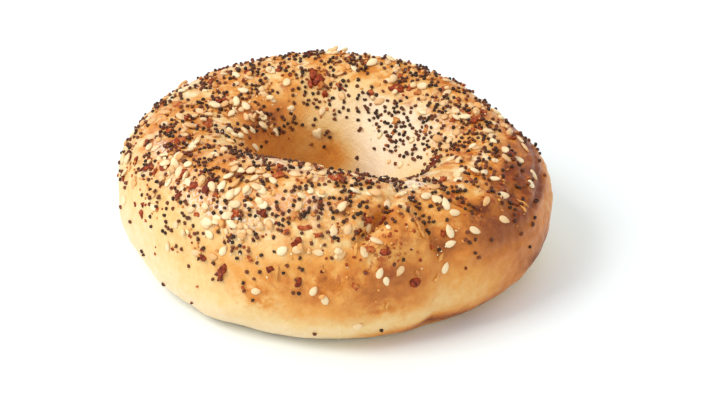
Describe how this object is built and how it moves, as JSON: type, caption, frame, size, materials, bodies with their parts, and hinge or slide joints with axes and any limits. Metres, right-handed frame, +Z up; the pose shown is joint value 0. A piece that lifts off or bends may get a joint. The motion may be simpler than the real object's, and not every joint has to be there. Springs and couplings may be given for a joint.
{
  "type": "everything bagel",
  "caption": "Round baked bread ring with a hole, its glossy golden crust topped with poppy seed, sesame seed and dried onion and garlic flakes.",
  "frame": {"origin": "middle of the bagel's outline in plan, on the surface it rests on", "axes": "+Z up out of the flat base, +X to the right and +Y to the back as the picture shows it, with the seam at the front right"},
  "size_m": [0.1095, 0.0994, 0.0397],
  "materials": {
    "baked_crust": "smooth boiled and baked bread crust with a soft sheen, golden on top and pale cream at the sides",
    "poppy_seed": "matte blue-black seed coat",
    "sesame_seed": "satin ivory hulled seed, lightly toasted",
    "onion_flake": "translucent dried onion, toasted red-brown to amber",
    "garlic_bit": "matte dried garlic, pale yellow to orange",
    "coarse_salt": "small clear to white salt grains"
  },
  "bodies": {
    "root": {"bagel": "baked_crust"}
  },
  "joints": []
}
